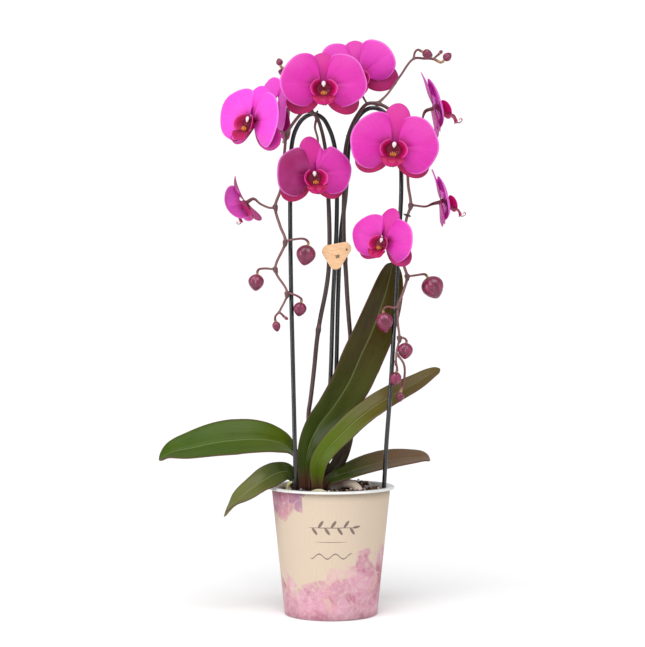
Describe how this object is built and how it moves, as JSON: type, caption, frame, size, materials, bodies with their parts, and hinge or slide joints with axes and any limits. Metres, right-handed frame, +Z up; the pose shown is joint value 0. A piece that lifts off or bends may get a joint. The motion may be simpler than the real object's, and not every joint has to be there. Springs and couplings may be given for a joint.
{
  "type": "potted orchid",
  "caption": "Moth orchid in a sleeved round pot: arched sprays of magenta blooms and buds on bent support hoops over broad glossy leaves.",
  "frame": {"origin": "centre of the pot's foot, on the surface that the pot stands on", "axes": "+Z up the plant; the front of the plant, where most blooms face, looks along -Y; +X to the viewer's right"},
  "size_m": [0.298, 0.1354, 0.5743],
  "materials": {
    "pot_plastic": "satin",
    "kraft_sleeve": "matte",
    "bark": "matte",
    "black_rod": "gloss",
    "stem": "satin",
    "leaf": "gloss",
    "root": "matte",
    "petal": "satin",
    "lip": "satin",
    "bud": "satin",
    "tag_wood": "matte"
  },
  "bodies": {
    "root": {"bud_left_first": "bud", "bud_left_fourth": "bud", "bud_left_second": "bud", "bud_left_third": "bud", "bud_left_tip": "bud", "bud_right_fifth": "bud", "bud_right_first": "bud", "bud_right_fourth": "bud", "bud_right_second": "bud", "bud_right_third": "bud", "bud_top_left_lower": "bud", "bud_top_left_upper": "bud", "bud_top_right_first": "bud", "bud_top_right_second": "bud", "bud_top_right_tip": "bud", "clip_left_arch": "black_rod", "clip_right_arch": "black_rod", "clip_right_spike": "black_rod", "clip_tag": "black_rod", "crown": "stem", "flower_left_back": "petal", "flower_left_middle": "petal", "flower_left_side": "petal", "flower_left_upper": "petal", "flower_right_lower": "petal", "flower_right_middle": "petal", "flower_right_side_lower": "petal", "flower_right_side_upper": "petal", "flower_top_back": "petal", "flower_top_front": "petal", "grow_pot": "pot_plastic", "hoop_left": "black_rod", "hoop_right": "black_rod", "leaf_left": "leaf", "leaf_lower_left": "leaf", "leaf_lower_right": "leaf", "leaf_right": "leaf", "leaf_tall": "leaf", "lip_left_back": "lip", "lip_left_middle": "lip", "lip_left_side": "lip", "lip_left_upper": "lip", "lip_right_lower": "lip", "lip_right_middle": "lip", "lip_right_side_lower": "lip", "lip_right_side_upper": "lip", "lip_top_back": "lip", "lip_top_front": "lip", "name_tag": "tag_wood", "pot_sleeve": "kraft_sleeve", "potting_bark": "bark", "root_front": "root", "root_left": "root", "root_right": "root", "root_thin": "root", "spike_left": "stem", "spike_right": "stem"}
  },
  "joints": []
}
